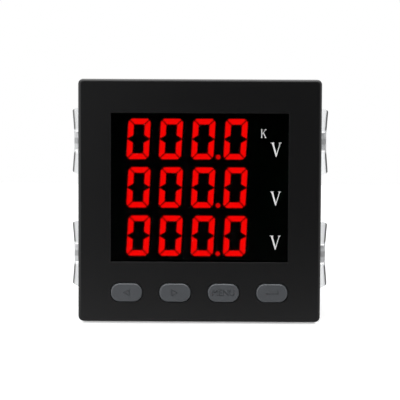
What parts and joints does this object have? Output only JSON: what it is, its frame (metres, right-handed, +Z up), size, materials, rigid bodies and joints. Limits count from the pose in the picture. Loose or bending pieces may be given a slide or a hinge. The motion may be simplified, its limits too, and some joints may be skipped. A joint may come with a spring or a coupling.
{
  "type": "digital panel meter",
  "caption": "Square panel-mounted meter with rows of red seven-segment digits behind a dark window, push keys below, side spring clips and rear screw terminals.",
  "frame": {"origin": "centre of the bezel's rear rim, the face that seats on the front of the panel", "axes": "+X to the reader's right, +Y from the front into the panel, +Z up"},
  "size_m": [0.104, 0.0838, 0.096],
  "materials": {
    "bezel_abs": "moulded, fine spark texture",
    "window_smoked": "polished smoked acrylic, nearly opaque",
    "key_grey": "grey moulded keycap, satin",
    "switch_black": "moulded switch housing",
    "plunger_plastic": "natural moulded plastic",
    "module_black": "black moulded reflector",
    "segment_lit": "red diffusing resin, lit",
    "segment_unlit": "red diffusing resin, unlit behind smoked acrylic",
    "board_green": "glass-epoxy board, green solder mask",
    "screw_zinc": "zinc-plated steel",
    "housing_abs": "moulded, fine spark texture",
    "clip_steel": "bright spring steel",
    "block_green": "green moulded terminal body",
    "cage_brass": "nickel-plated brass",
    "socket_black": "moulded pin socket",
    "pin_gold": "gold-flashed square pin",
    "potting_blue": "moulded blue case",
    "resistor_body": "lacquered resistor body",
    "ferrite": "sintered ferrite",
    "winding_tape": "yellow polyester tape over the winding",
    "can_sleeve": "sleeved aluminium can",
    "filter_case": "yellow moulded case",
    "varistor_blue": "dipped ceramic disc",
    "chip_black": "moulded chip package",
    "crystal_can": "drawn steel can"
  },
  "bodies": {
    "meter": {"front_bezel": "bezel_abs", "display_window": "window_smoked", "switch_body_left": "switch_black", "switch_body_right": "switch_black", "switch_body_menu": "switch_black", "switch_body_enter": "switch_black", "led_module_top": "module_black", "lit_segments_top": "segment_lit", "unlit_segments_top": "segment_unlit", "led_module_middle": "module_black", "lit_segments_middle": "segment_lit", "unlit_segments_middle": "segment_unlit", "led_module_bottom": "module_black", "lit_segments_bottom": "segment_lit", "unlit_segments_bottom": "segment_unlit", "display_board": "board_green", "display_board_screws": "screw_zinc", "housing": "housing_abs", "rear_cover": "housing_abs", "upper_board": "board_green", "upper_terminal_block": "block_green", "upper_terminal_cages": "cage_brass", "upper_terminal_screws": "screw_zinc", "upper_link_socket": "socket_black", "upper_link_pins": "pin_gold", "lower_board": "board_green", "lower_terminal_block": "block_green", "lower_terminal_cages": "cage_brass", "lower_terminal_screws": "screw_zinc", "lower_link_socket": "socket_black", "lower_link_pins": "pin_gold", "voltage_transformer_1": "potting_blue", "voltage_transformer_2": "potting_blue", "voltage_transformer_3": "potting_blue", "input_resistors": "resistor_body", "power_transformer_core": "ferrite", "power_transformer_winding": "winding_tape", "bulk_capacitor": "can_sleeve", "output_capacitor": "can_sleeve", "mains_filter_capacitor": "filter_case", "surge_varistor": "varistor_blue", "bridge_rectifier": "chip_black", "power_controller_chip": "chip_black", "meter_processor_chip": "chip_black", "segment_driver_chip": "chip_black", "crystal": "crystal_can"},
    "key_left_unit": {"key_left": "key_grey", "switch_plunger_left": "plunger_plastic"},
    "key_right_unit": {"key_right": "key_grey", "switch_plunger_right": "plunger_plastic"},
    "key_menu_unit": {"key_menu": "key_grey", "switch_plunger_menu": "plunger_plastic"},
    "key_enter_unit": {"key_enter": "key_grey", "switch_plunger_enter": "plunger_plastic"},
    "clip_left_upper_unit": {"clip_left_upper": "clip_steel"},
    "clip_left_lower_unit": {"clip_left_lower": "clip_steel"},
    "clip_right_upper_unit": {"clip_right_upper": "clip_steel"},
    "clip_right_lower_unit": {"clip_right_lower": "clip_steel"}
  },
  "joints": [
    {"name": "key_left_press", "type": "slide", "parent": "meter", "child": "key_left_unit", "axis": [0, 1, 0], "range_m": [0, 0.0005], "stiffness_N_per_m": 1200, "springref_m": -0.0006},
    {"name": "key_right_press", "type": "slide", "parent": "meter", "child": "key_right_unit", "axis": [0, 1, 0], "range_m": [0, 0.0005], "stiffness_N_per_m": 1200, "springref_m": -0.0006},
    {"name": "key_menu_press", "type": "slide", "parent": "meter", "child": "key_menu_unit", "axis": [0, 1, 0], "range_m": [0, 0.0005], "stiffness_N_per_m": 1200, "springref_m": -0.0006},
    {"name": "key_enter_press", "type": "slide", "parent": "meter", "child": "key_enter_unit", "axis": [0, 1, 0], "range_m": [0, 0.0005], "stiffness_N_per_m": 1200, "springref_m": -0.0006},
    {"name": "clip_left_upper_slide", "type": "slide", "parent": "meter", "child": "clip_left_upper_unit", "axis": [0, 1, 0], "range_m": [-0.005, 0.036]},
    {"name": "clip_left_lower_slide", "type": "slide", "parent": "meter", "child": "clip_left_lower_unit", "axis": [0, 1, 0], "range_m": [-0.005, 0.036]},
    {"name": "clip_right_upper_slide", "type": "slide", "parent": "meter", "child": "clip_right_upper_unit", "axis": [0, 1, 0], "range_m": [-0.005, 0.036]},
    {"name": "clip_right_lower_slide", "type": "slide", "parent": "meter", "child": "clip_right_lower_unit", "axis": [0, 1, 0], "range_m": [-0.005, 0.036]}
  ]
}
